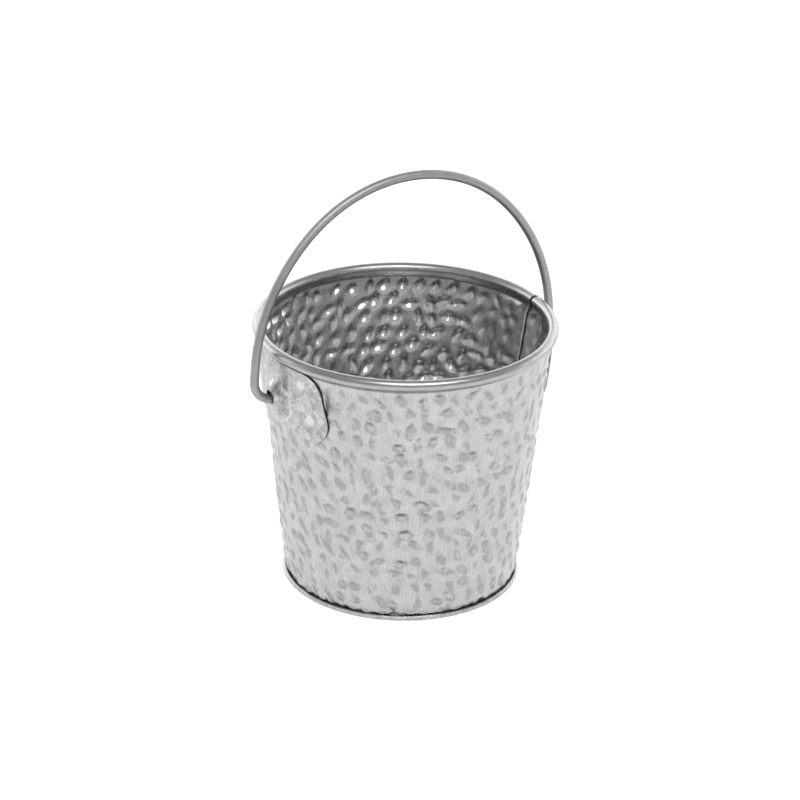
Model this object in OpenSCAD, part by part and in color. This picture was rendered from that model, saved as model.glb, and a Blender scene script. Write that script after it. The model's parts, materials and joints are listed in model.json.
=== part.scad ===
// Small galvanised sheet-steel bucket with a swinging wire bail.
// Origin: centre of the foot on the floor. +Z is up and the bail's hinge runs along X.

/* [Wall] */
// Height of the bucket from the floor to the top of the rim
bucket_h = 108.5; // [90:0.5:140]
// Diameter over the rolled rim
rim_d = 120; // [100:1:150]
// Outer diameter of the wall where it meets the floor
foot_d = 92; // [84:1:96]
// Thickness of the steel sheet
sheet_t = 0.5; // [0.4:0.05:0.8]
// Width of the lapped joint down the inside of the wall
lap_w = 7; // [4:1:12]
// Azimuth of the lapped joint's visible edge, in degrees from +X
lap_azimuth = 2; // [-10:1:10]

/* [Rim] */
// Thickness of the rolled rim over its wire
bead_d = 4.2; // [3.6:0.1:5]

/* [Base] */
// How far the folded ring stands out from the foot of the wall
ring_reach = 1.5; // [1.3:0.1:2.5]
// Height of the folded ring
ring_h = 2; // [1.9:0.1:3]
// How far the middle of the base is pressed up off the floor
panel_rise = 1; // [0.5:0.1:2]

/* [Ears] */
// Width of an ear over its lower corners
ear_w = 55.6; // [50:0.2:60]
// Distance between the centres of the corners on the two sides of an ear
ear_corner_gap = 35.8; // [30:0.2:38]
// Radius of an ear's upper corners, under the rim
ear_upper_r = 9; // [6:0.5:10]
// Height above the floor of an ear's lower corners
ear_bottom_z = 74.2; // [72:0.2:76]
// How far the lower edge rises between its corners
ear_waist_rise = 2.4; // [0:0.2:3]
// Width of the raised stretch of the lower edge
ear_waist_w = 16; // [10:1:24]
// Thickness of an ear
ear_t = 0.7; // [0.6:0.1:1]
// Diameter of the pressed dome that the bail hooks into
dome_d = 20; // [18:0.5:24]
// Height of the dome over the ear
dome_h = 3.2; // [2.8:0.1:4]
// Diameter of the hole in the dome
hole_d = 5.8; // [5:0.1:7]

/* [Bail] */
// Diameter of the bail wire
wire_d = 3.4; // [3:0.1:3.8]
// Height of the bail's hinge above the floor
hinge_z = 86.5; // [85:0.5:89]
// Height of the crown's centre line above the hinge
bail_rise = 81.8; // [81:0.2:90]
// Radius of the crown
crown_r = 61.5; // [60:0.5:62]
// Angle from the top of the bail at which the crown passes into a shoulder
crown_angle = 45; // [40:1:50]
// Radius of each shoulder
shoulder_r = 77; // [75:0.5:78]
// Angle from the top of the bail at which a shoulder passes into a straight arm
arm_angle = 86.5; // [85:0.5:89]
// Radius of the bend between an arm and its hook
hook_r = 8; // [6:0.5:9]

/* [Hidden] */
$fn = 96;

// Overlap that fuses two features of one sheet, and the gaps between pressed parts.
fuse = 0.1;
seat_gap = 0.05;
fold_gap = 0.1;
wire_gap = 0.1;

// Rolled rim: its middle lies on the line of the wall.
bead_r = bead_d / 2;
bead_mid_r = rim_d / 2 - bead_r;
bead_z = bucket_h - bead_r;
curl_hollow_r = bead_r - sheet_t;
curl_slit = 0.4;

// Wall cone: outer and inner radius at height z.
wall_slope = (bead_mid_r - foot_d / 2) / bead_z;
function outer_r(z) = foot_d / 2 + wall_slope * z;
function inner_r(z) = outer_r(z) - sheet_t;
wall_top_z = bead_z - bead_r + sheet_t / 2;

// Base: the disc's edge is folded up and over the wall's flange.
ring_r = foot_d / 2 + ring_reach;
hem_r = outer_r(ring_h) + 0.3;
flange_z = sheet_t + fold_gap;
flange_t = ring_h - 2 * sheet_t - 2 * fold_gap;
flange_r = ring_r - sheet_t - fold_gap;
panel_r = foot_d / 2 - 6;

// Lapped joint: stops short of the base and of the rim.
lap_bottom_z = ring_h + 1;
lap_top_z = wall_top_z - 1;
lap_angle = lap_w / outer_r(bucket_h / 2) * 180 / PI;

// Ears: tucked in just under the rim.
ear_top_z = bead_z - bead_r - 0.3;
ear_corner_x = ear_corner_gap / 2;
ear_lower_r = ear_w / 2 - ear_corner_x;
ear_upper_mid = [ear_corner_x, ear_top_z + fuse - ear_upper_r];
ear_lower_mid = [ear_corner_x, ear_bottom_z + ear_lower_r];
ear_side_lean = asin((ear_lower_r - ear_upper_r) / (ear_upper_mid[1] - ear_lower_mid[1]));
ear_side = [cos(ear_side_lean), sin(ear_side_lean)];
ear_reach = 12;
dome_z = hinge_z + 1;
dome_r = (dome_d * dome_d / 4 + dome_h * dome_h) / (2 * dome_h);
dome_top_x = outer_r(dome_z) + seat_gap + ear_t + dome_h;
hole_z = hinge_z + 0.9;

// Bail: centres and joints of its tangent arcs, as [out from the middle, up from the hinge].
crown_mid = [0, bail_rise - crown_r];
shoulder_mid = crown_mid + (crown_r - shoulder_r) * [sin(crown_angle), cos(crown_angle)];
arm_start = shoulder_mid + shoulder_r * [sin(arm_angle), cos(arm_angle)];
shoulder_start = crown_mid + crown_r * [sin(crown_angle), cos(crown_angle)];
arm_len = (arm_start[1] - hook_r * (1 + cos(arm_angle))) / sin(arm_angle);
arm_end = arm_start + arm_len * [cos(arm_angle), -sin(arm_angle)];
hook_mid = arm_end - hook_r * [sin(arm_angle), cos(arm_angle)];
hook_tip_x = outer_r(hinge_z) + 1;
tip_chamfer = 0.4;

// Each length of wire stops just short of its joints, and a ball a hair thicker joins two lengths.
joint_trim = 0.05;
joint_ball_r = wire_d / 2 + 0.03;
hook_rod_x = hook_tip_x + tip_chamfer - joint_trim;

// Ring of sheet between two offsets from the wall's outer face, over part of a turn.
module wall_band(from, to, z0, z1, angle = 360) {
    rotate_extrude(angle = angle)
        polygon([
            [outer_r(z0) + from, z0],
            [outer_r(z0) + to, z0],
            [outer_r(z1) + to, z1],
            [outer_r(z1) + from, z1]
        ]);
}

// Section of the rolled rim, open by a slit beside the wall.
module curl_section() {
    difference() {
        translate([bead_mid_r, bead_z]) circle(r = bead_r);
        translate([bead_mid_r, bead_z]) circle(r = curl_hollow_r);
        translate([outer_r(wall_top_z) + fuse, bead_z - bead_r - 1])
            square([curl_slit, sheet_t + 1.5]);
    }
}

// Conical wall with a flange at the foot, a rolled rim and a lapped joint.
module wall() {
    color("silver") union() {
        wall_band(-sheet_t, 0, flange_z, wall_top_z);
        rotate_extrude() curl_section();
        rotate_extrude()
            translate([inner_r(flange_z) + fuse, flange_z])
            square([flange_r - inner_r(flange_z) - fuse, flange_t]);
        rotate([0, 0, lap_azimuth])
            wall_band(-2 * sheet_t, fuse - sheet_t, lap_bottom_z, lap_top_z, lap_angle);
    }
}

// Disc with a raised middle, whose edge is folded up and over the wall's flange.
module base() {
    color("lightgray") rotate_extrude()
        polygon([
            [0, panel_rise],
            [panel_r, panel_rise],
            [panel_r + panel_rise, 0],
            [ring_r, 0],
            [ring_r, ring_h],
            [hem_r, ring_h],
            [hem_r, ring_h - sheet_t],
            [ring_r - sheet_t, ring_h - sheet_t],
            [ring_r - sheet_t, sheet_t],
            [panel_r + panel_rise, sheet_t],
            [panel_r, panel_rise + sheet_t],
            [0, panel_rise + sheet_t]
        ]);
}

// Stiffening wire inside the rolled rim.
module rim_wire() {
    color("dimgray") rotate_extrude()
        translate([bead_mid_r, bead_z])
        circle(r = curl_hollow_r - wire_gap);
}

// Half of an ear's outline, seen from straight in front of it: two round corners and what lies between them.
module ear_half_outline() {
    translate(ear_upper_mid) circle(r = ear_upper_r);
    translate(ear_lower_mid) circle(r = ear_lower_r);
    polygon([
        [-fuse, ear_top_z + fuse / 2],
        [ear_corner_x, ear_top_z + fuse / 2],
        ear_upper_mid + (ear_upper_r - fuse / 2) * ear_side,
        ear_lower_mid + (ear_lower_r - fuse / 2) * ear_side,
        [ear_corner_x, ear_bottom_z + fuse],
        [ear_waist_w / 2, ear_bottom_z + ear_waist_rise],
        [-fuse, ear_bottom_z + ear_waist_rise]
    ]);
}

module ear_outline() {
    ear_half_outline();
    mirror([1, 0]) ear_half_outline();
}

// Third of a turn, centred on +X, of a band that lies on the wall.
module ear_band(thickness) {
    rotate([0, 0, -60])
        wall_band(seat_gap, seat_gap + thickness, ear_bottom_z - 1, ear_top_z, 120);
}

// Ear on the +X side: a plate bent to the wall, with a hollow dome and a hole through it.
module ear() {
    color("gainsboro") difference() {
        union() {
            intersection() {
                ear_band(ear_t);
                rotate([90, 0, 90]) linear_extrude(height = rim_d / 2) ear_outline();
            }
            intersection() {
                ear_band(ear_reach);
                translate([dome_top_x - dome_r, 0, dome_z]) sphere(r = dome_r);
            }
        }
        translate([dome_top_x - dome_r, 0, dome_z]) sphere(r = dome_r - ear_t);
        translate([dome_top_x - dome_h - 1, 0, hole_z])
            rotate([0, 90, 0]) cylinder(h = ear_reach, d = hole_d);
    }
}

module ear_right() {
    ear();
}

module ear_left() {
    rotate([0, 0, 180]) ear();
}

// Arc of bail wire about [out, up], between two angles from the vertical.
module wire_arc(mid, r, from, to) {
    trim = joint_trim / r * 180 / PI;
    translate([mid[0], 0, hinge_z + mid[1]])
        rotate([90, 0, 0])
        rotate([0, 0, 90 - to + trim])
        rotate_extrude(angle = to - from - 2 * trim)
        translate([r, 0])
        circle(d = wire_d);
}

// Straight length of bail wire from [out, up], leaning at an angle from the vertical.
module wire_rod(start, lean, length) {
    translate([start[0], 0, hinge_z + start[1]])
        rotate([0, lean, 0])
        translate([0, 0, joint_trim])
        cylinder(h = length - 2 * joint_trim, d = wire_d);
}

// Half of the bail: shoulder, straight arm, bend and the hook that turns in the ear.
module bail_half() {
    wire_arc(shoulder_mid, shoulder_r, crown_angle, arm_angle);
    wire_rod(arm_start, 90 + arm_angle, arm_len);
    wire_arc(hook_mid, hook_r, arm_angle, 180);
    wire_rod([hook_rod_x, 0], 90, hook_mid[0] - hook_rod_x);
    translate([hook_tip_x, 0, hinge_z])
        rotate([0, 90, 0])
        cylinder(h = tip_chamfer + fuse, r1 = wire_d / 2 - tip_chamfer, r2 = wire_d / 2 + fuse);
    for (joint = [shoulder_start, arm_start, arm_end, [hook_mid[0], 0]])
        translate([joint[0], 0, hinge_z + joint[1]]) sphere(r = joint_ball_r);
}

// Wire bail, upright.
module bail() {
    color("darkgray") union() {
        wire_arc(crown_mid, crown_r, -crown_angle, crown_angle);
        bail_half();
        mirror([1, 0, 0]) bail_half();
    }
}

wall();
base();
rim_wire();
ear_left();
ear_right();
bail();
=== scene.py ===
"""Looks of a small hammered, galvanised bucket with a wire bail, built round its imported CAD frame.

Lengths are in millimetres until a mesh is made, and azimuths are degrees from +X.
"""
import json
import math

import bpy
import numpy as np
from mathutils import Matrix, Vector


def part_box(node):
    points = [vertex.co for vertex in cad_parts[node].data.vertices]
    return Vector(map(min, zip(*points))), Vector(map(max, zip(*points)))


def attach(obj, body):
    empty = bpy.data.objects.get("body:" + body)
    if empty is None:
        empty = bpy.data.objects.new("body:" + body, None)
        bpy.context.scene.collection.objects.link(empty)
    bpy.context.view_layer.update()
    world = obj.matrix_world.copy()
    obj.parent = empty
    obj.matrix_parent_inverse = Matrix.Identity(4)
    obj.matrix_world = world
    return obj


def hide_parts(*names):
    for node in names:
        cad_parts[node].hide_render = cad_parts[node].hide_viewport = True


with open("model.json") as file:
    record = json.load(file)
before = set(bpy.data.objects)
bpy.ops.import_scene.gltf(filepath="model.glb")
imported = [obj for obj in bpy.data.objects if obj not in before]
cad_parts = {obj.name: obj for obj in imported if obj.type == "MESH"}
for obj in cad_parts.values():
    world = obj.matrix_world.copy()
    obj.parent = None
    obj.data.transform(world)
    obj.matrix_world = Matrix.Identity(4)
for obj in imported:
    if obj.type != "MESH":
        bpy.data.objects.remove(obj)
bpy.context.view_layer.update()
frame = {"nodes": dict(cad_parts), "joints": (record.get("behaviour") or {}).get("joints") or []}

MM = 0.001
TAU = 2 * math.pi

# ---------------------------------------------------------------- dimensions from the frame


def box_mm(node):
    """Lowest and highest corner of a CAD node, in millimetres."""
    low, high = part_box(node)
    return np.array(low) / MM, np.array(high) / MM


wall_high = box_mm("wall")[1]
base_high = box_mm("base")[1]
wire_low, wire_high = box_mm("rim_wire")
ear_low, ear_high = box_mm("ear_right")
bail_low, bail_high = box_mm("bail")
hinge_z = frame["joints"][0]["pos_m"][2] / MM

# Rolled rim
rim_r = wall_high[0]
rim_wire_r = (wire_high[2] - wire_low[2]) / 2
bead_z = (wire_high[2] + wire_low[2]) / 2
bead_mid_r = wire_high[0] - rim_wire_r
bead_r = rim_r - bead_mid_r

# Wall and base
SHEET_T = 0.5
RING_REACH = 1.5
PANEL_INSET = 6.0
PANEL_RISE = 1.0
ring_r = base_high[0]
ring_h = base_high[2]
foot_r = ring_r - RING_REACH
wall_slope = (bead_mid_r - foot_r) / bead_z

# Bail: crown, shoulders, arms and hooks are tangent arcs of these radii and angles.
BAIL_CROWN_R = 61.5
BAIL_SHOULDER_R = 77.0
BAIL_HOOK_R = 8.0
BAIL_CROWN_ANGLE = 45.0
BAIL_ARM_ANGLE = 86.5
HOOK_TIP_GAP = 1.0
BAIL_JOINT_SWELL = 0.03  # how far the CAD wire's joints stand out of it
bail_wire_r = (bail_high[1] - bail_low[1]) / 2 - BAIL_JOINT_SWELL


def wall_r(z):
    """Radius of the wall's outer face, before it is hammered."""
    return foot_r + wall_slope * z


def smooth(x, low, high):
    """0 below low, 1 above high, and a smooth step between them."""
    t = np.clip((np.asarray(x, float) - low) / (high - low), 0, 1)
    return t * t * (3 - 2 * t)


def waves(a, b, seed, count, shortest, longest):
    """Gentle unevenness from -1 to 1 over two coordinates: crossed waves of seeded direction and length."""
    random = np.random.default_rng(seed)
    total = np.zeros(np.broadcast(a, b).shape)
    for _ in range(count):
        angle = random.uniform(0, TAU)
        length = random.uniform(shortest, longest)
        phase = random.uniform(0, TAU)
        total += np.sin(TAU * (a * math.cos(angle) + b * math.sin(angle)) / length + phase)
    return total / count


# ---------------------------------------------------------------- meshes


def make_piece(name, points, faces, uv, body, nodes, material, masks=(), sharp=38):
    """A mesh piece that rides on a body and stands for CAD nodes.

    uv is each point's place on its own sheet, in mm, and masks are values stored on the points.
    """
    mesh = bpy.data.meshes.new(name)
    mesh.from_pydata((np.asarray(points) * MM).tolist(), [], faces)
    mesh.validate()
    layer = mesh.uv_layers.new(name="sheet")
    corners = np.zeros(len(mesh.loops), np.int32)
    mesh.loops.foreach_get("vertex_index", corners)
    layer.data.foreach_set("uv", (np.asarray(uv)[corners] * MM).astype(np.float32).ravel())
    for mask, values in dict(masks).items():
        attribute = mesh.attributes.new(mask, "FLOAT", "POINT")
        attribute.data.foreach_set("value", np.asarray(values, np.float32))
    mesh.shade_smooth()
    mesh.set_sharp_from_angle(angle=math.radians(sharp))
    mesh.materials.append(material)
    piece = bpy.data.objects.new(name, mesh)
    bpy.context.scene.collection.objects.link(piece)
    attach(piece, body)
    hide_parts(*nodes)
    return piece


def grid_faces(rows, columns, close_rows=False, close_columns=False):
    """Quads between the points of a grid stored row by row."""
    faces = []
    for i in range(rows if close_rows else rows - 1):
        below = (i + 1) % rows
        for j in range(columns if close_columns else columns - 1):
            after = (j + 1) % columns
            faces.append((i * columns + j, i * columns + after, below * columns + after, below * columns + j))
    return faces


def resample(points, spacing):
    """Points along a polyline, about this far apart."""
    points = np.asarray(points, float)
    steps = np.linalg.norm(np.diff(points, axis=0), axis=1)
    along = np.concatenate([[0], np.cumsum(steps)])
    count = max(2, int(round(along[-1] / spacing)) + 1)
    at = np.linspace(0, along[-1], count)
    return np.stack([np.interp(at, along, points[:, k]) for k in range(points.shape[1])], -1)


def arc(mid, r, start, end, count):
    """Points on an arc about mid, between two angles in degrees from +X of the drawing."""
    angle = np.radians(np.linspace(start, end, count))
    return np.stack([mid[0] + r * np.cos(angle), mid[1] + r * np.sin(angle)], -1)


def side_normals(path):
    """Unit normals to the left of a path in a plane."""
    tangent = np.gradient(path, axis=0)
    tangent /= np.linalg.norm(tangent, axis=1)[:, None]
    return np.stack([-tangent[:, 1], tangent[:, 0]], -1)


# ---------------------------------------------------------------- hammered relief

# Where the hammer marks are
MARK_PITCH = 7.3
MARK_ROWS = 16
MARK_STRAY = 1.55
MARK_LOWEST = 1.0
MARK_BELOW_BEAD = 7.0
MARK_SEED = 7

# Raised outside: flat-topped polygons that lean, with rounded corners and a sloping flank
MARK_HEIGHT = 0.62
MARK_REACH = 2.45
MARK_CORNER = 2.4
MARK_FLANK = 2.15
MARK_SKIRT = 0.4
MARK_LEAN = -57
MARK_LEAN_SPREAD = 28
MARK_ASPECT = (1.2, 2.6)
MARK_ROUND = 1.15  # a mark stretched further than this is lower, so that its flanks are no steeper
MARK_LOWERING = 0.9
MARK_WINDOW = 6.5

# Dented inside: round bowls, deeper than the marks are high, that merge where they meet
DENT_SPREAD = 1.3
DENT_DEPTH = 1.6
DENT_LAND = 0.5
DENT_LIMIT = 1.6
DENT_LIMIT_SOFT = 0.3


def scatter_marks(z_low, z_high):
    """Centres of the marks as (azimuth in radians, z): staggered rows, each mark a little out of place."""
    random = np.random.default_rng(MARK_SEED)
    marks = []
    for row, z in enumerate(np.linspace(z_low, z_high, MARK_ROWS)):
        count = round(TAU * wall_r(z) / MARK_PITCH)
        for k in range(count):
            stray = random.uniform(-MARK_STRAY, MARK_STRAY) / wall_r(z)
            azimuth = TAU * (k + 0.5 * (row % 2)) / count + stray
            marks.append((azimuth % TAU, z + random.uniform(-MARK_STRAY, MARK_STRAY)))
    return marks


def hammered(azimuth, z):
    """Height of the marks at each (azimuth in radians, z), as raised outside and as dented inside."""
    random = np.random.default_rng(MARK_SEED + 1)
    raised = np.zeros(azimuth.size)
    dented = np.zeros(azimuth.size)
    flat_azimuth = azimuth.ravel()
    flat_z = z.ravel()
    for mark_azimuth, mark_z in scatter_marks(MARK_LOWEST, bead_z - MARK_BELOW_BEAD):
        sides = random.integers(3, 6)
        turn = random.uniform(0, TAU)
        reach = MARK_REACH * (0.1 + 0.22 * sides) * random.uniform(0.65, 1.2, sides)
        lean = math.radians(random.normal(MARK_LEAN, MARK_LEAN_SPREAD))
        stretch = math.sqrt(random.uniform(*MARK_ASPECT))
        tall = MARK_HEIGHT * random.uniform(0.75, 1.05)
        wide = random.uniform(0.85, 1.15)
        near = np.nonzero(np.abs(flat_z - mark_z) < MARK_WINDOW)[0]
        across = ((flat_azimuth[near] - mark_azimuth + math.pi) % TAU - math.pi) * wall_r(mark_z)
        close = np.abs(across) < MARK_WINDOW
        near = near[close]
        across = across[close]
        up = flat_z[near] - mark_z
        long = (across * math.cos(lean) + up * math.sin(lean)) / stretch
        short = (up * math.cos(lean) - across * math.sin(lean)) * stretch
        beyond = []
        for k in range(sides):
            angle = turn + TAU * k / sides
            beyond.append(long * math.cos(angle) + short * math.sin(angle) - reach[k])
        edge = np.log(sum(np.exp(MARK_CORNER * side) for side in beyond)) / MARK_CORNER
        top = min(1.0, (MARK_ROUND / stretch) ** MARK_LOWERING) * tall
        flank = 1 - smooth(edge, MARK_SKIRT - MARK_FLANK, MARK_SKIRT)
        raised[near] = np.maximum(raised[near], top * flank)
        bowl = np.exp(-(long ** 2 + short ** 2) / (2 * (DENT_SPREAD * wide) ** 2))
        dented[near] += DENT_DEPTH / MARK_HEIGHT * tall * bowl
    dented = dented - DENT_LIMIT_SOFT * np.logaddexp(0, (dented - DENT_LIMIT) / DENT_LIMIT_SOFT)
    return raised.reshape(azimuth.shape), dented.reshape(azimuth.shape)


# ---------------------------------------------------------------- wall

WALL_COLUMNS = 672
WALL_ROW_SPACING = 0.52
WALL_SHEET_R = 52  # the wall unrolls onto its sheet's uv at this radius
RIM_ROWS = 17
CURL_START_ANGLE = 226.0
CURL_END_ANGLE = -80.0
FOOT_DRAW = 0.2

# The sheet starts at LAP_START degrees, inside, and its other end lies over it as far as LAP_END.
LAP_START = 2.4
LAP_END = 9.5
LAP_EASE = 24
LAP_STEP = SHEET_T + 0.15
EDGE_LIFT = 0.12
SPLIT = 1.6

# Each ear pulls a crease into the wall that runs out and down from its edge. Distances are from its middle.
EAR_MID_R = 55
EAR_EDGE = 28.6
EAR_PULL = 0.35
CREASE_Z = 93.0
CREASE_FALL = 0.42
CREASE_LENGTH = 2.8
CREASE_START = 27.0

UNEVEN = 0.10
FOOT_WAVE = 0.7
LEAST_SHEET = 0.06
TOP_FADE = 0.22
NECK_LINE = ((3.2, 0.10), (2.75, 0.30), (2.3, 0.50))  # (below the bead's centre, inside the wall's line)

# Weights of the painted shade and painted light that the wall's mask holds: painted shade in the crease,
# along the foot and on the marks' flanks outside, painted light beside the lap and painted shade under the
# rim inside
CREASE_PAINTED_SHADE = 0.9
FOOT_PAINTED_SHADE = 0.5
UPPER_FLANK_PAINTED_SHADE = 0.24
LOW_FLANK_PAINTED_SHADE = 0.6
LAP_PAINTED_LIGHT = 0.4
UNDER_RIM_PAINTED_SHADE = 0.34


def wall_section():
    """Middle line of the sheet as (radius, z): flange, wall, neck and round the rolled rim."""
    def line_r(z):
        return wall_r(z) - SHEET_T / 2

    flange_z = SHEET_T + 0.1 + SHEET_T / 2
    flange_edge = ring_r - SHEET_T - 0.15
    flange = [(flange_edge, flange_z), (line_r(flange_z) - FOOT_DRAW + 0.4, flange_z)]
    flange.append((line_r(1.6) - FOOT_DRAW, 1.6))
    climb = np.arange(2.0, bead_z - 3.5, WALL_ROW_SPACING)
    drawn_in = FOOT_DRAW * (1 - smooth(climb, 1.8, 4.6))
    straight = np.stack([line_r(climb) - drawn_in, climb], -1)
    neck = [(line_r(bead_z - below) - inside, bead_z - below) for below, inside in NECK_LINE]
    curl = arc((bead_mid_r, bead_z), bead_r - SHEET_T / 2, CURL_START_ANGLE, CURL_END_ANGLE, RIM_ROWS)
    return np.vstack([flange, straight, neck, curl])


def lap_edges(path):
    """Azimuths in degrees at which each row starts and ends: a lap below, a slanting split in the rim."""
    z = path[:, 1]
    rim = np.arange(len(path)) >= len(path) - RIM_ROWS
    round_rim = np.zeros(len(path))
    round_rim[rim] = np.linspace(0, 1, rim.sum())
    start = np.interp(z, [2.0, 3.2, 79, 100.5, 104.2], [LAP_END + 0.4, 3.2, LAP_START, 1.0, -0.6])
    start[rim] = -1.0 - 2.2 * round_rim[rim]
    end = np.interp(z, [0, 100.2, 102.6, 104.2], [LAP_END, LAP_END, -0.9, -1.25])
    end[rim] = start[rim] - SPLIT
    return start, end


def wall_degrees(start, end):
    """Azimuth of each point of the sheet in degrees: even columns, eased to meet each row's start and end."""
    by_edge = LAP_START + np.array([0, 0.15, 0.4, 0.75])
    even = np.linspace(LAP_START + 1.2, 360 + LAP_END, WALL_COLUMNS)
    nominal = np.concatenate([by_edge, even])[None, :]
    from_start = 1 - smooth(nominal - LAP_START, 0, LAP_EASE)
    from_end = smooth(nominal, 360 + LAP_END - LAP_EASE, 360 + LAP_END)
    return nominal + from_start * (start - LAP_START)[:, None] + from_end * (end - LAP_END)[:, None]


def rim_rows(z):
    """Whether each row is in the rolled rim or the top two rows of the neck."""
    return (np.arange(len(z)) >= len(z) - RIM_ROWS - 2)[:, None]


def clear_of_rim(z):
    return 1 - smooth(z, bead_z - 6.0, bead_z - 3.2)


def clear_of_foot(z):
    return smooth(z, 1.4, 2.4)


def from_ear_middle(degrees):
    """Distance round the wall from the nearer ear's middle, in mm."""
    off_left = np.abs(degrees % 360 - 180)
    off_right = np.abs((degrees + 180) % 360 - 180)
    return np.minimum(off_right, off_left) * TAU / 360 * EAR_MID_R


def ear_crease(off_ear, z):
    """The crease beside each ear, from 0 to 1: tall at the ear's edge, and a narrow fading fold beyond."""
    past_ear = np.maximum(off_ear - EAR_EDGE, 0)
    width = 1.1 + 2.6 * np.exp(-past_ear / 2)
    crease = np.exp(-past_ear / CREASE_LENGTH - ((z - CREASE_Z + CREASE_FALL * past_ear) / width) ** 2)
    return crease * (off_ear > CREASE_START)


def how_hammered(degrees, z, off_ear):
    """1 on the open wall, and less or none by the rim, the foot and the lap's edge and under the ears."""
    by_lap = 0.3 + 0.7 * smooth(np.abs((degrees - LAP_START + 180) % 360 - 180), 1.0, 3.6)
    under_ear = (1 - smooth(off_ear, 25.5, 29.5)) * smooth(z, ear_low[2], ear_low[2] + 4)
    return clear_of_rim(z) * clear_of_foot(z) * by_lap * (1 - 0.5 * under_ear)


def sheet_push(degrees, z, from_edge, lapped, crease):
    """How far the sheet is pushed out of the smooth wall: unevenness, the step under the lap, the crease."""
    azimuth = np.radians(degrees)
    uneven = UNEVEN * waves(azimuth * 50, z, 3, 9, 28, 70) + UNEVEN * waves(azimuth * 50, z, 13, 16, 3.5, 9)
    uneven = uneven * ~rim_rows(z) * clear_of_foot(z)
    foot_waves = waves(azimuth * 45, 0 * z, 5, 14, 3.5, 12) * (1 - smooth(z, 2.2, 5.5)) * clear_of_foot(z)
    lift = EDGE_LIFT * (1 - smooth(from_edge, 0, 1.3))
    pulled_in = EAR_PULL * crease * clear_of_rim(z)
    return uneven + FOOT_WAVE * foot_waves - (LAP_STEP + lift) * lapped - pulled_in


def edge_caps(rows, columns):
    """Quads along the sheet's four edges, from its outer points to its inner ones, which follow them."""
    count = rows * columns
    caps = []
    for i in range(rows - 1):
        first, second = i * columns, (i + 1) * columns
        caps.append((first, second, count + second, count + first))
        first, second = first + columns - 1, second + columns - 1
        caps.append((second, first, count + first, count + second))
    for j in range(columns - 1):
        caps.append((j + 1, j, count + j, count + j + 1))
        top = (rows - 1) * columns + j
        caps.append((top, top + 1, count + top + 1, count + top))
    return caps


def outside_painted_shade(azimuth, z, raised, crease):
    """Painted shade on the outer face, from 0 to 1: in the crease, along the foot and on the marks' upper and
    lower flanks.
    """
    # painted shade: the crease, the foot and the marks' flanks are darkened in colour
    crease_shade = CREASE_PAINTED_SHADE * crease * clear_of_rim(z)
    foot_edge = 2.0 + 5.0 * np.maximum(waves(azimuth * 45, z, 9, 12, 3.5, 11), -0.1)
    foot_shade = FOOT_PAINTED_SHADE * (1 - smooth(z - foot_edge, -1.0, 2.0))
    climb = np.gradient(raised, axis=0) / WALL_ROW_SPACING
    upper_flanks = UPPER_FLANK_PAINTED_SHADE * smooth(-climb, 0.10, 0.42)
    low_flanks = LOW_FLANK_PAINTED_SHADE * smooth(climb, 0.08, 0.35) * (1 - smooth(z, 5.0, 10.0))
    flank_shade = (upper_flanks + low_flanks) * ~rim_rows(z)
    return np.clip(crease_shade + foot_shade + flank_shade, 0, 1)


def inside_painted_light(z, from_edge, lapped):
    """Painted light on the inner face: positive for a painted highlight on the lap's cut edge and painted
    light beside the lap, which is also rougher; negative for a painted shadow in the lap's gap and painted
    shade under the rim.
    """
    below_bead = ~rim_rows(z)
    # painted highlight on the cut edge, painted light beside the lap, painted shadow in its gap, painted
    # shade under the rim
    edge_highlight = (1 - smooth(from_edge, 0.5, 1.1)) * lapped
    beside_lap_light = LAP_PAINTED_LIGHT * smooth(from_edge, 345, 352) * (1 - smooth(from_edge, 359.0, 359.5)) * below_bead
    lap_shadow_start = 359.6 - 1.6 * smooth(z, 97, 102)
    lap_shadow = smooth(from_edge, lap_shadow_start, lap_shadow_start + 0.3) * (from_edge < 360.3) * below_bead
    under_rim_shade = UNDER_RIM_PAINTED_SHADE * smooth(z, bead_z - 10, bead_z - 5) * below_bead
    return edge_highlight + beside_lap_light - np.maximum(lap_shadow, under_rim_shade)


def on_bead(z):
    """1 on the rolled rim's own round face, and 0 below it."""
    round_bead = np.full(len(z), CURL_START_ANGLE)
    round_bead[-RIM_ROWS:] = np.linspace(CURL_START_ANGLE, CURL_END_ANGLE, RIM_ROWS)
    return smooth(-round_bead, -195, -150)[:, None] * np.ones(z.shape)


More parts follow.
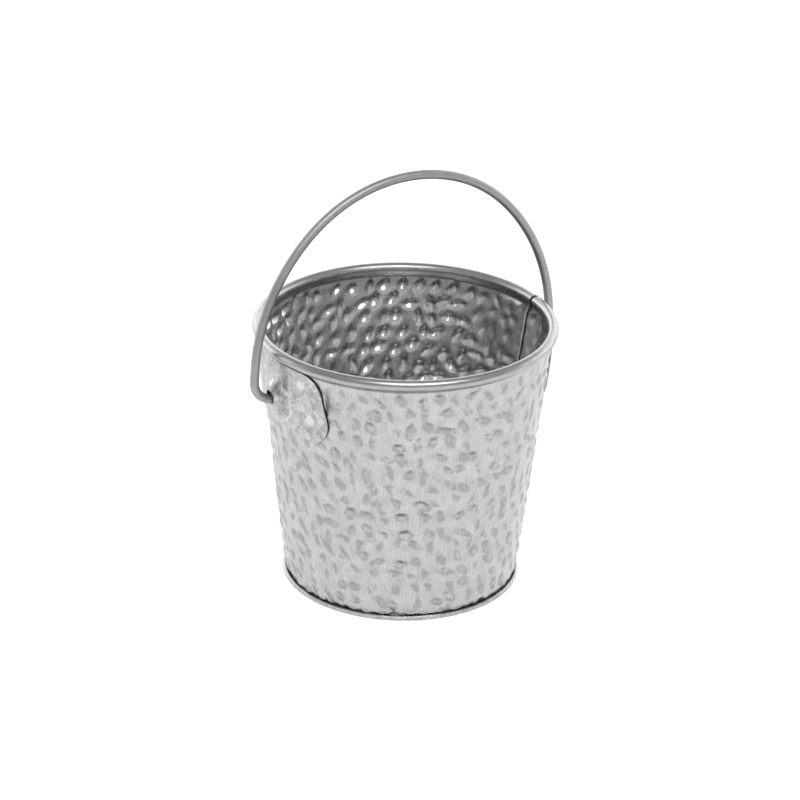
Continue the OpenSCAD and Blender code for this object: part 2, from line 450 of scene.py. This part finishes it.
def build_wall(material):
    path = wall_section()
    normals = side_normals(path)
    start, end = lap_edges(path)
    degrees = wall_degrees(start, end)
    azimuth = np.radians(degrees)
    z = np.broadcast_to(path[:, 1:2], azimuth.shape)
    below_bead = ~rim_rows(z)
    off_ear = from_ear_middle(degrees)
    from_edge = degrees - start[:, None]
    crease = ear_crease(off_ear, z)
    lapped = (1 - smooth(degrees, LAP_END + 0.6, LAP_END + 16)) * (1 - smooth(z, 99.0, 103.8)) * below_bead
    lapped = lapped * smooth(z, 1.9, 3.2)

    keep = how_hammered(degrees, z, off_ear) * below_bead
    raised, dented = hammered(azimuth % TAU, z)
    raised = raised * keep * (1 - TOP_FADE * smooth(z, 80, 98))
    dented = dented * keep - DENT_LAND * keep
    raised = np.maximum(raised, dented - SHEET_T + LEAST_SHEET)
    push = sheet_push(degrees, z, from_edge, lapped, crease)

    along = np.cumsum(np.linalg.norm(np.diff(path, axis=0, prepend=path[:1]), axis=1))
    points = []
    uv = []
    for side, marks in ((-1, raised), (1, dented)):
        face = path[:, None, :] + side * normals[:, None, :] * SHEET_T / 2
        r = face[..., 0] + push + marks
        height = np.broadcast_to(face[..., 1], r.shape)
        points.append(np.stack([r * np.cos(azimuth), r * np.sin(azimuth), height], -1).reshape(-1, 3))
        sheet = np.stack([azimuth * WALL_SHEET_R, np.broadcast_to(along[:, None], r.shape)], -1)
        uv.append(sheet.reshape(-1, 2))

    rows, columns = azimuth.shape
    count = rows * columns
    out_faces = grid_faces(rows, columns)
    in_faces = [tuple(count + k for k in reversed(face)) for face in out_faces]
    faces = out_faces + in_faces + edge_caps(rows, columns)

    bead = on_bead(z).ravel()
    # painted shade for the outer face, and painted light and painted shade for the inner face, kept in one
    # mask
    outer_painted_shade = outside_painted_shade(azimuth, z, raised, crease).ravel()
    inner_painted_light = inside_painted_light(z, from_edge, lapped).ravel()
    masks = {"relief_and_painted_light": np.concatenate([(raised / MARK_HEIGHT).ravel(), np.zeros(count)]),
             "inside": np.concatenate([np.zeros(count), 1 - bead]),
             "rim": np.concatenate([bead, bead]),
             "painted_light": np.concatenate([-outer_painted_shade, inner_painted_light])}
    return make_piece("wall_sheet", np.vstack(points), faces, np.vstack(uv), "pail", ["wall"],
                      material, masks)


# ---------------------------------------------------------------- base

BASE_COLUMNS = 288
BASE_FILLET_R = 0.75
PANEL_MIDDLE_R = 0.4
HEM_GAP = 0.3
RING_WAVE = 0.10
LIP_HIGHLIGHT = 1.6
TROUGH_PAINTED_SHADE = 0.3


def rounded(corners, r, steps=4):
    """Closed outline with each corner cut by a short arc-like curve of about radius r."""
    out = []
    count = len(corners)
    for k in range(count):
        before, corner, after = (np.array(corners[(k + d) % count], float) for d in (-1, 0, 1))
        reach = min(r, 0.45 * np.linalg.norm(before - corner), 0.45 * np.linalg.norm(after - corner))
        a = corner + (before - corner) / np.linalg.norm(before - corner) * reach
        b = corner + (after - corner) / np.linalg.norm(after - corner) * reach
        for t in np.linspace(0, 1, steps + 1):
            out.append((1 - t) ** 2 * a + 2 * t * (1 - t) * corner + t * t * b)
    return np.array(out)


def base_section():
    """Closed section of the base: raised panel, flat foot, and the edge folded up and in over the flange."""
    hem_r = wall_r(ring_h) + HEM_GAP
    hem_under = ring_h - SHEET_T + 0.1
    panel_r = foot_r - PANEL_INSET
    return rounded([
        (PANEL_MIDDLE_R, PANEL_RISE), (panel_r, PANEL_RISE), (panel_r + PANEL_RISE, 0), (ring_r, 0),
        (ring_r, ring_h), (ring_r - 0.8, ring_h), (hem_r, ring_h - 0.15), (hem_r, hem_under),
        (ring_r - SHEET_T, hem_under), (ring_r - SHEET_T, SHEET_T),
        (panel_r + PANEL_RISE + 0.3, SHEET_T), (panel_r + 0.3, PANEL_RISE + SHEET_T),
        (PANEL_MIDDLE_R, PANEL_RISE + SHEET_T),
    ], BASE_FILLET_R)


def build_base(material):
    outline = base_section()
    columns = BASE_COLUMNS
    azimuth = np.linspace(0, TAU, columns, endpoint=False)[None, :]
    r = np.broadcast_to(outline[:, :1], (len(outline), columns)).copy()
    z = np.broadcast_to(outline[:, 1:], (len(outline), columns)).copy()
    on_ring = smooth(r, ring_r - 2.2, ring_r - 0.6)
    lifted = smooth(z, 0.5, ring_h)
    r += on_ring * lifted * (RING_WAVE * waves(azimuth * ring_r, z, 11, 8, 9, 40) - 0.06)
    z += on_ring * lifted * RING_WAVE * (waves(azimuth * ring_r, r, 12, 8, 7, 30) - 0.6)
    r = np.minimum(r, ring_r)
    z = np.clip(z, 0, ring_h)
    points = np.stack([r * np.cos(azimuth), r * np.sin(azimuth), z], -1).reshape(-1, 3)
    round_ring = np.stack([azimuth * ring_r + 0 * r, r + z], -1)
    flat_panel = np.stack([r * np.cos(azimuth), r * np.sin(azimuth)], -1)
    uv = np.where((r > ring_r - 1.0)[..., None], round_ring, flat_panel).reshape(-1, 2)
    rows = len(outline)
    faces = grid_faces(rows, columns, close_columns=True)
    under = range(columns)
    upper = range((rows - 1) * columns, rows * columns)
    faces.append(tuple(under))
    faces.append(tuple(reversed(upper)))
    faces = [tuple(reversed(face)) for face in faces]
    # Painted highlight along the ring's lip and painted shade in the trough by the wall
    lip = np.exp(-((r - ring_r + 0.35) ** 2 + (z - ring_h) ** 2) / 0.12)
    trough = smooth(z, ring_h - 0.4, ring_h - 0.1) * smooth(-r, 0.75 - ring_r, 1.0 - ring_r)
    relief_and_painted_light = (LIP_HIGHLIGHT * lip - TROUGH_PAINTED_SHADE * trough).ravel()
    return make_piece("base_pan", points, faces, uv, "pail", ["base"], material,
                      {"relief_and_painted_light": relief_and_painted_light})


# ---------------------------------------------------------------- ears

EAR_T = 0.7
EAR_CORNER_ACROSS = 18.2
EAR_UPPER_R = 9.0
EAR_LOWER_R = 10.5
EAR_WAIST_RISE = 2.4
EAR_WAIST = 8.0
EAR_LIFT = 0.42
DOME_R = 10.0
DOME_FLAT_R = 3.0
DOME_H = 3.0
DOME_RISE = 0.9
HOLE_R = 2.9
HOLE_RISE = 0.9
HOLE_LIP_DROP = 0.22
GAPE = 0.18
WELDS = ((17.4, 98.2), (20.5, 84.2))  # (across, z) on each half of the ear
WELD_R = 2.1
WELD_DEPTH = 0.28
DOME_CROWN = 0.25
EAR_UNEVEN = 0.12
EAR_SEGMENTS = 168
EAR_EDGE_CURVE = ((0.10, 0.3), (0.16, 0.0), (0.10, -0.3))  # (out, part of the thickness), from the outer face
DOME_FOOT_R = 10.3

# Weights of the painted highlights and painted shade in the ears' mask
DOME_FOOT_HIGHLIGHT = 0.5
DOME_FLANK_PAINTED_SHADE = 0.36
DOME_TOP_HIGHLIGHT = 0.15
WRINKLE_HIGHLIGHT = 0.9


def ear_outline(count):
    """Points round the flattened ear as (across, z): flat under the rim, drooping at its ends."""
    upper = (EAR_CORNER_ACROSS, ear_high[2] - EAR_UPPER_R)
    lower = (EAR_CORNER_ACROSS, ear_low[2] + EAR_LOWER_R)
    lean = math.degrees(math.asin((EAR_LOWER_R - EAR_UPPER_R) / (upper[1] - lower[1])))
    waist = ear_low[2] + EAR_WAIST_RISE
    half = np.vstack([[(0, waist), (EAR_WAIST, waist)], arc(lower, EAR_LOWER_R, -72, lean, 40),
                      arc(upper, EAR_UPPER_R, lean, 90, 40), [(0, ear_high[2])]])
    loop = resample(np.vstack([half, half[::-1] * [-1, 1]]), 0.05)[:-1]
    pick = np.linspace(0, len(loop), count, endpoint=False).astype(int)
    return loop[pick]


def from_welds(across, z):
    """Distance from each weld's middle, in weld radii, one array for each weld."""
    return [np.hypot(across - side * weld_across, z - weld_z) / WELD_R
            for side in (-1, 1) for weld_across, weld_z in WELDS]


def ear_height(across, z):
    """How far the ear's middle surface stands out from the smooth wall."""
    dome_z = hinge_z + DOME_RISE
    from_dome = np.hypot(across, z - dome_z)
    dome = DOME_H * (1 - smooth(from_dome, DOME_FLAT_R - 1.0, DOME_R))
    dome += DOME_CROWN * np.clip(1 - (from_dome / DOME_FLAT_R) ** 2, 0, 1)
    gape = GAPE * smooth(np.abs(across), 20, 28.5) * (1 - 0.8 * smooth(np.abs(z - 88), 4, 12))
    welds = np.zeros(np.shape(across))
    for from_weld in from_welds(across, z):
        thrown_up = 0.05 * np.exp(-((from_weld - 1.3) / 0.25) ** 2)
        welds += WELD_DEPTH * (1 - smooth(from_weld, 0.55, 1.15)) - thrown_up
    uneven = EAR_UNEVEN * waves(across, z, 21, 12, 6, 22)
    return EAR_LIFT + EAR_T / 2 + dome + gape - welds + uneven


def ear_shading(across, z):
    """The ears' mask: bright welds, painted shade on the dome's lower flanks, a painted highlight round its
    foot and on its top, and painted highlights in wrinkles above it that the shape does not have.
    """
    relief_and_painted_light = np.zeros(np.shape(across))
    for from_weld in from_welds(across, z):
        relief_and_painted_light = np.maximum(relief_and_painted_light, 1 - smooth(from_weld, 0.7, 1.2))
    over_dome = z - hinge_z - DOME_RISE
    from_dome = np.hypot(across, over_dome)
    below = smooth(-over_dome, -6.5, -2.0)
    flank = smooth(from_dome, 4.8, 6.2) * (1 - smooth(from_dome, 8.8, 10.2))
    # painted highlight round the dome's foot, painted shade on its flank, painted highlight on its top
    foot_highlight = DOME_FOOT_HIGHLIGHT * np.exp(-((from_dome - DOME_FOOT_R) / 0.6) ** 2)
    dome_flank_shade = smooth(np.abs(across), 1.0, 4.0) * flank
    dome_top = 1 - smooth(from_dome, 4.0, 5.4)
    relief_and_painted_light += below * (foot_highlight - DOME_FLANK_PAINTED_SHADE * dome_flank_shade + DOME_TOP_HIGHLIGHT * dome_top)
    # painted highlights in wrinkles that the shape does not have
    wrinkled = smooth(waves(across, 0.4 * z, 31, 6, 1.6, 3.4), 0.0, 0.5)
    return relief_and_painted_light + WRINKLE_HIGHLIGHT * smooth(over_dome, 3.0, 5.5) * (1 - smooth(from_dome, 8.0, 10.0)) * wrinkled


def build_ear(name, node, turn, material):
    outline = ear_outline(EAR_SEGMENTS)
    hole_mid = np.array([0, hinge_z + HOLE_RISE])
    direction = outline - hole_mid
    direction /= np.linalg.norm(direction, axis=1)[:, None]
    hole = hole_mid + direction * HOLE_R
    steps = np.concatenate([np.linspace(0, 0.36, 16), np.linspace(0.36, 1, 22)[1:]])
    flat = hole[None] * (1 - steps[:, None, None]) + outline[None] * steps[:, None, None]
    across, z = flat[..., 0], flat[..., 1]
    height = ear_height(across, z)
    from_hole = np.hypot(across - hole_mid[0], z - hole_mid[1])
    height = height - HOLE_LIP_DROP * (1 - smooth(from_hole, HOLE_R, HOLE_R + 1.0))
    loops = []
    for k in range(len(steps)):
        loops.append((flat[k], height[k] + EAR_T / 2))
    for out, part in EAR_EDGE_CURVE:
        loops.append((outline + direction * out, height[-1] + EAR_T * part))
    for k in reversed(range(len(steps))):
        loops.append((flat[k], height[k] - EAR_T / 2))
    for out, part in reversed(EAR_EDGE_CURVE):
        loops.append((hole - direction * out, height[0] + EAR_T * part))
    points = []
    uv = []
    for place, out in loops:
        r = wall_r(place[:, 1]) + out
        azimuth = place[:, 0] / (wall_r(place[:, 1]) + EAR_LIFT) + turn
        points.append(np.stack([r * np.cos(azimuth), r * np.sin(azimuth), place[:, 1]], -1))
        uv.append(place)
    uv = np.vstack(uv)
    faces = grid_faces(len(loops), EAR_SEGMENTS, close_rows=True, close_columns=True)
    relief_and_painted_light = ear_shading(uv[:, 0], uv[:, 1])
    return make_piece(name, np.vstack(points), faces, uv, "pail", [node],
                      material, {"relief_and_painted_light": relief_and_painted_light})


# ---------------------------------------------------------------- bail

BAIL_SPACING = 0.9
BAIL_SIDES = 20
BAIL_END_SIZE = 0.86


def bail_line():
    """Centre line of the bail's right half as (out, up from the hinge), from the crown to the hook's tip."""
    def unit(angle):
        return np.array([math.sin(math.radians(angle)), math.cos(math.radians(angle))])

    rise = bail_high[2] - bail_wire_r - hinge_z
    crown_mid = np.array([0, rise - BAIL_CROWN_R])
    shoulder_mid = crown_mid + (BAIL_CROWN_R - BAIL_SHOULDER_R) * unit(BAIL_CROWN_ANGLE)
    arm_start = shoulder_mid + BAIL_SHOULDER_R * unit(BAIL_ARM_ANGLE)
    lean = math.radians(BAIL_ARM_ANGLE)
    arm_length = (arm_start[1] - BAIL_HOOK_R * (1 + math.cos(lean))) / math.sin(lean)
    arm_end = arm_start + arm_length * np.array([math.cos(lean), -math.sin(lean)])
    hook_mid = arm_end - BAIL_HOOK_R * unit(BAIL_ARM_ANGLE)
    tip = np.array([[wall_r(hinge_z) + HOOK_TIP_GAP, 0.0]])
    return np.vstack([
        arc(crown_mid, BAIL_CROWN_R, 90, 90 - BAIL_CROWN_ANGLE, 40),
        arc(shoulder_mid, BAIL_SHOULDER_R, 90 - BAIL_CROWN_ANGLE, 90 - BAIL_ARM_ANGLE, 40)[1:],
        arc(hook_mid, BAIL_HOOK_R, 90 - BAIL_ARM_ANGLE, -90, 24),
        tip,
    ])


def build_bail(material):
    half = bail_line()
    line = np.vstack([half[::-1] * [-1, 1], half[1:]])
    line = resample(line, BAIL_SPACING)
    line[:, 0] *= (bail_high[0] - bail_wire_r) / line[:, 0].max()
    normals = side_normals(line)
    around = np.linspace(0, TAU, BAIL_SIDES, endpoint=False)
    points = []
    uv = []
    along = np.cumsum(np.linalg.norm(np.diff(line, axis=0, prepend=line[:1]), axis=1))
    for k in range(len(line)):
        size = bail_wire_r
        if k in (0, len(line) - 1):
            size *= BAIL_END_SIZE
        side = normals[k][:, None] * np.cos(around) * size
        points.append(np.stack([line[k, 0] + side[0], np.sin(around) * size,
                                hinge_z + line[k, 1] + side[1]], -1))
        uv.append(np.stack([around * bail_wire_r, np.full(len(around), along[k])], -1))
    faces = grid_faces(len(line), len(around), close_columns=True)
    faces.append(tuple(reversed(range(len(around)))))
    last = (len(line) - 1) * len(around)
    faces.append(tuple(last + k for k in range(len(around))))
    return make_piece("bail_wire", np.vstack(points), faces, np.vstack(uv), "bail",
                      ["bail"], material)


# ---------------------------------------------------------------- materials

SHEET_DARK = (0.35, 0.36, 0.36)
SHEET_LIGHT = (0.63, 0.64, 0.64)
# Painted light: the lining is paler than the outer face of the same sheet
LIT_LINING_DARK = (0.60, 0.61, 0.61)
LIT_LINING_LIGHT = (0.84, 0.85, 0.85)
# Dark colour that the painted shade blends towards: creases, foot, marks' flanks, the lap's gap and under the
# rim
PAINTED_SHADE = (0.12, 0.12, 0.12)
# Painted shade on the marks: darker outlines at their feet and darker tops
MARK_OUTLINE_SHADE = 0.8
MARK_SHADE = 0.14
# Painted shade: the rim's colour is darker than the rest of the same sheet
RIM_SHADE = 0.3
RIM_ROUGHNESS = 0.31
BUMP_DISTANCE = 0.00006
GRAIN_PER_M = 900.0


class Graph:
    """Short calls for building a node tree."""

    def __init__(self, tree):
        self.tree = tree

    def node(self, kind, inputs=(), **settings):
        made = self.tree.nodes.new(kind)
        for key, value in settings.items():
            setattr(made, key, value)
        for key, value in dict(inputs).items():
            if isinstance(value, bpy.types.NodeSocket):
                self.tree.links.new(value, made.inputs[key])
            else:
                made.inputs[key].default_value = value
        return made

    def math(self, operation, a, b=0.0):
        return self.node("ShaderNodeMath", {0: a, 1: b}, operation=operation).outputs[0]

    def part(self, vector, direction):
        """How much of a vector is along a direction."""
        made = self.node("ShaderNodeVectorMath", {0: vector, 1: direction}, operation="DOT_PRODUCT")
        return made.outputs["Value"]

    def place(self, across, along):
        """The point's place on its sheet, stretched so that one unit is this many metres each way."""
        uv = self.node("ShaderNodeUVMap", uv_map="sheet").outputs[0]
        return self.node("ShaderNodeMapping", {"Vector": uv, "Scale": (1 / across, 1 / along, 1)}).outputs[0]

    def noise(self, vector, detail=3.0, roughness=0.6):
        made = self.node("ShaderNodeTexNoise", {"Vector": vector, "Scale": 1.0, "Detail": detail,
                                                "Roughness": roughness})
        return made.outputs["Fac"]

    def ramp(self, value, low, high, out_low=0.0, out_high=1.0, **settings):
        made = self.node("ShaderNodeMapRange", {"Value": value, "From Min": low, "From Max": high,
                                                "To Min": out_low, "To Max": out_high}, **settings)
        return made.outputs[0]

    def smooth_ramp(self, value, low, high, out_low=0.0, out_high=1.0):
        return self.ramp(value, low, high, out_low, out_high, interpolation_type="SMOOTHSTEP")

    def mask(self, name):
        """A value stored on the mesh's points."""
        return self.node("ShaderNodeAttribute", attribute_name=name).outputs["Fac"]

    def mixer(self, factor, first, second):
        """A node that mixes two colours, each a node's output or plain red, green and blue."""
        made = self.node("ShaderNodeMix", {"Factor": factor}, data_type="RGBA")
        for key, colour in ((6, first), (7, second)):
            if isinstance(colour, bpy.types.NodeSocket):
                self.tree.links.new(colour, made.inputs[key])
            else:
                made.inputs[key].default_value = (*colour, 1)
        return made

    def blend(self, factor, first, second):
        return self.mixer(factor, first, second).outputs[2]


def steel(name):
    """A new metal material, the short calls for its nodes, and its shader."""
    material = bpy.data.materials.new(name)
    material.use_nodes = True
    shader = material.node_tree.nodes["Principled BSDF"]
    shader.inputs["Metallic"].default_value = 1.0
    return material, Graph(material.node_tree), shader


def galvanised(name, dark, light, roughness, streak=(0.0004, 0.007), streaky=0.45, bump=0.35):
    """Zinc-coated steel: rolling streaks along the sheet over soft and fine mottling.

    Returns the material, its graph, and the value and the mix node that set its colour.
    """
    material, g, shader = steel(name)
    streaks = g.noise(g.place(*streak), 4.0, 0.65)
    mottle = g.noise(g.place(0.005, 0.007), 4.0, 0.6)
    speckle = g.noise(g.place(0.0009, 0.0013), 2.0, 0.6)
    shade = g.ramp(streaks, 0.3, 0.7, -0.1, streaky - 0.1)
    shade = g.math("ADD", shade, g.ramp(mottle, 0.3, 0.7, 0.0, 0.45))
    shade = g.math("ADD", shade, g.ramp(speckle, 0.25, 0.75, 0.0, 0.8 - streaky))
    colour = g.mixer(shade, dark, light)
    g.tree.links.new(colour.outputs[2], shader.inputs["Base Color"])
    rough = g.math("ADD", g.ramp(streaks, 0.3, 0.7, -0.05, 0.05), g.ramp(mottle, 0.3, 0.7, -0.04, 0.04))
    rough = g.math("ADD", rough, roughness)
    g.tree.links.new(rough, shader.inputs["Roughness"])
    grain = g.math("ADD", g.math("MULTIPLY", streaks, 0.6), g.math("MULTIPLY", speckle, 0.4))
    raised = g.node("ShaderNodeBump", {"Height": grain, "Strength": bump, "Distance": BUMP_DISTANCE})
    g.tree.links.new(raised.outputs[0], shader.inputs["Normal"])
    return material, g, shade, colour


def hammered_zinc():
    """The wall's sheet: painted shade as darker, broken outlines and darker tops on the marks, painted shade
    and more roughness on the rim, and a lining painted paler as painted light.
    """
    material, g, shade, colour = galvanised("hammered_zinc", SHEET_DARK, SHEET_LIGHT, 0.26)
    relief_and_painted_light = g.mask("relief_and_painted_light")
    # painted shade: darker, broken outlines round the marks' feet and darker tops
    broken = g.ramp(g.noise(g.place(0.0028, 0.0036), 3.0, 0.6), 0.38, 0.62)
    outline = g.math("MULTIPLY", relief_and_painted_light, g.math("SUBTRACT", 1.0, relief_and_painted_light))
    outline = g.math("MULTIPLY", outline, g.math("MULTIPLY", broken, 4 * MARK_OUTLINE_SHADE))
    shade = g.math("SUBTRACT", shade, outline)
    shade = g.math("SUBTRACT", shade, g.math("MULTIPLY", relief_and_painted_light, MARK_SHADE))
    rim = g.mask("rim")
    # painted shade on the rim: its colour is darker than the sheet's, with mottling
    rim_painted_shade = g.ramp(g.noise(g.place(0.005, 0.0009), 5.0, 0.7), 0.3, 0.7, RIM_SHADE - 0.3, RIM_SHADE + 0.3)
    off_rim = g.math("SUBTRACT", 1.0, rim)
    shade = g.math("ADD", g.math("MULTIPLY", shade, off_rim), g.math("MULTIPLY", rim_painted_shade, rim))
    g.tree.links.new(shade, colour.inputs["Factor"])
    # Painted shade where this mask is below 0, painted light in the lining where above 0; above 0 is also
    # rougher
    painted_light = g.mask("painted_light")
    patina_and_light = g.noise(g.place(0.0012, 0.002), 3.0, 0.6)
    patina_and_light = g.math("ADD", patina_and_light, g.math("MULTIPLY", painted_light, 1.2))
    lit_lining = g.blend(patina_and_light, LIT_LINING_DARK, LIT_LINING_LIGHT)
    before_painted_shade = g.blend(g.mask("inside"), colour.outputs[2], lit_lining)
    shader = material.node_tree.nodes["Principled BSDF"]
    g.tree.links.new(g.blend(g.math("MULTIPLY", painted_light, -1.0), before_painted_shade, PAINTED_SHADE), shader.inputs["Base Color"])
    grain = material.node_tree.nodes["Bump"]
    g.tree.links.new(g.ramp(rim, 0.0, 1.0, 0.35, 0.08), grain.inputs["Strength"])
    rough = shader.inputs["Roughness"].links[0].from_socket
    rough = g.node("ShaderNodeMix", {0: rim, 2: rough, 3: RIM_ROUGHNESS}).outputs[0]
    rough = g.math("SUBTRACT", rough, g.math("MULTIPLY", g.mask("inside"), 0.05))
    rough = g.math("ADD", rough, g.math("MULTIPLY", g.math("MAXIMUM", painted_light, 0.0), 0.5))
    g.tree.links.new(rough, shader.inputs["Roughness"])
    return material


def spotted_zinc(name, dark, light, spots, clouds, **settings):
    """Plain zinc for the ears and base: cloudy, paler at the welds and where painted highlights are in the
    mask, and darker where painted shade is in it.
    """
    material, g, shade, colour = galvanised(name, dark, light, **settings)
    cloudy = g.ramp(g.noise(g.place(0.0024, 0.0028), 5.0, 0.65), 0.35, 0.65, -clouds, clouds)
    shade = g.math("ADD", g.math("ADD", shade, cloudy), g.math("MULTIPLY", g.mask("relief_and_painted_light"), spots))
    g.tree.links.new(shade, colour.inputs["Factor"])
    return material


def drawn_wire(name, dark, light, roughness):
    """Bare steel wire with fine mottling in object coordinates, for the CAD wire, which has no sheet uv."""
    material, g, shader = steel(name)
    where = g.node("ShaderNodeTexCoord").outputs["Object"]
    fine = g.node("ShaderNodeTexNoise", {"Vector": where, "Scale": GRAIN_PER_M, "Detail": 3.0})
    fine = fine.outputs["Fac"]
    g.tree.links.new(g.blend(fine, dark, light), shader.inputs["Base Color"])
    g.tree.links.new(g.ramp(fine, 0.3, 0.7, roughness - 0.05, roughness + 0.08), shader.inputs["Roughness"])
    return material


# ---------------------------------------------------------------- studio

CAMERA_AZIMUTH = -29.5
CAMERA_ELEVATION = 24.9
CAMERA_DISTANCE = 1.3
CAMERA_ROLL = 1.2
CAMERA_LENS = 147.8
SENSOR_WIDTH = 36
AIM_SIDE = -0.00157
AIM_HEIGHT = 0.0736

FLOOR_HALF = 4.0
SKY = 0.43
BACKDROP = 1.35
BACKDROP_LEFT = 0.35
FLOOR_GLOW = 0.62


def camera_axes():
    """The camera's level right, then its right, up and back once it is rolled."""
    azimuth, elevation, roll = (math.radians(a) for a in (CAMERA_AZIMUTH, CAMERA_ELEVATION, CAMERA_ROLL))
    right = Vector((math.cos(azimuth), math.sin(azimuth), 0))
    back = Vector((math.sin(azimuth) * math.cos(elevation), -math.cos(azimuth) * math.cos(elevation),
                   math.sin(elevation)))
    up = back.cross(right)
    turned_right = right * math.cos(roll) + up * math.sin(roll)
    turned_up = up * math.cos(roll) - right * math.sin(roll)
    return right, turned_right, turned_up, back


def add_camera():
    level_right, right, up, back = camera_axes()
    target = level_right * AIM_SIDE + Vector((0, 0, AIM_HEIGHT))
    data = bpy.data.cameras.new("camera")
    data.lens = CAMERA_LENS
    data.sensor_width = SENSOR_WIDTH
    data.clip_start = 0.05
    camera = bpy.data.objects.new("camera", data)
    bpy.context.scene.collection.objects.link(camera)
    rotation = Matrix((right, up, back)).transposed().to_4x4()
    camera.matrix_world = Matrix.Translation(target + back * CAMERA_DISTANCE) @ rotation
    bpy.context.scene.camera = camera


def add_softbox(name, azimuth, elevation, distance, size, radiance):
    """Soft rectangular light aimed at the bucket. Azimuth 0 is the camera's side, positive to its right."""
    bearing = math.radians(CAMERA_AZIMUTH - 90 + azimuth)
    height = math.radians(elevation)
    aim = Vector((0, 0, AIM_HEIGHT))
    away = Vector((math.cos(bearing) * math.cos(height), math.sin(bearing) * math.cos(height),
                   math.sin(height)))
    data = bpy.data.lights.new(name, "AREA")
    data.shape = "RECTANGLE"
    data.size, data.size_y = size
    data.energy = radiance * math.pi * size[0] * size[1]
    light = bpy.data.objects.new(name, data)
    light.location = aim + away * distance
    light.rotation_euler = away.to_track_quat("Z", "Y").to_euler()
    bpy.context.scene.collection.objects.link(light)


def add_floor():
    """White paper, glowing softly and falling off into the dim of the room towards the camera."""
    mesh = bpy.data.meshes.new("floor")
    half = FLOOR_HALF
    corners = [(-half, -half, 0), (half, -half, 0), (half, half, 0), (-half, half, 0)]
    mesh.from_pydata(corners, [], [(0, 1, 2, 3)])
    floor = bpy.data.objects.new("floor", mesh)
    bpy.context.scene.collection.objects.link(floor)
    material = bpy.data.materials.new("floor_paper")
    material.use_nodes = True
    g = Graph(material.node_tree)
    azimuth = math.radians(CAMERA_AZIMUTH)
    frontward = (math.sin(azimuth), -math.cos(azimuth), 0)
    where = g.node("ShaderNodeTexCoord").outputs["Object"]
    front = g.part(where, frontward)
    shader = material.node_tree.nodes["Principled BSDF"]
    shader.inputs["Base Color"].default_value = (0.6, 0.6, 0.6, 1)
    shader.inputs["Emission Color"].default_value = (1, 1, 1, 1)
    g.tree.links.new(g.smooth_ramp(front, 0.26, 0.55, FLOOR_GLOW, 0.0), shader.inputs["Emission Strength"])
    shader.inputs["Roughness"].default_value = 0.9
    shader.inputs["Specular IOR Level"].default_value = 0.1
    mesh.materials.append(material)


def add_world():
    """Studio round the bucket: a white backdrop low down behind it, and dim grey everywhere else."""
    world = bpy.data.worlds.new("studio")
    bpy.context.scene.world = world
    world.use_nodes = True
    g = Graph(world.node_tree)
    direction = g.node("ShaderNodeTexCoord").outputs["Generated"]
    up = g.node("ShaderNodeSeparateXYZ", {0: direction}).outputs["Z"]
    azimuth = math.radians(CAMERA_AZIMUTH)
    behind = (-math.sin(azimuth), math.cos(azimuth), 0)
    leftward = (-math.cos(azimuth), -math.sin(azimuth), 0)
    away = g.part(direction, behind)
    left = g.part(direction, leftward)
    low = g.smooth_ramp(up, 0.62, 0.40)
    bright = g.ramp(left, -1, 1, BACKDROP, BACKDROP + BACKDROP_LEFT)
    backdrop = g.math("MULTIPLY", g.smooth_ramp(away, -0.25, 0.5), bright)
    strength = g.math("ADD", SKY, g.math("MULTIPLY", low, backdrop))
    background = world.node_tree.nodes["Background"]
    background.inputs["Color"].default_value = (1, 1, 1, 1)
    world.node_tree.links.new(strength, background.inputs["Strength"])


# ---------------------------------------------------------------- scene

add_camera()
add_floor()
add_world()
add_softbox("key", azimuth=13, elevation=52, distance=1.2, size=(0.95, 0.5), radiance=5.0)
bpy.context.scene.view_settings.view_transform = "Standard"
bpy.context.scene.view_settings.look = "None"

sheet_material = hammered_zinc()
# Painted shade: the base's colours are darker than the wall's sheet
base_material = spotted_zinc("base_zinc", (0.26, 0.265, 0.27), (0.54, 0.545, 0.55), spots=0.8, clouds=0.25,
                             roughness=0.26, bump=0.12)
ear_material = spotted_zinc("ear_zinc", (0.25, 0.255, 0.26), (0.66, 0.67, 0.67), spots=0.75, clouds=0.30,
                            roughness=0.33, streak=(0.0008, 0.003), streaky=0.3, bump=0.6)
bail_material = galvanised("bail_zinc", (0.31, 0.315, 0.31), (0.47, 0.475, 0.47), roughness=0.52,
                           streak=(0.0009, 0.012))[0]
core_material = drawn_wire("drawn_steel", (0.07, 0.07, 0.075), (0.14, 0.14, 0.15), 0.45)

build_wall(sheet_material)
build_base(base_material)
build_ear("ear_plate_left", "ear_left", math.pi, ear_material)
build_ear("ear_plate_right", "ear_right", 0.0, ear_material)
build_bail(bail_material)
core = frame["nodes"]["rim_wire"]
core.data.materials.clear()
core.data.materials.append(core_material)
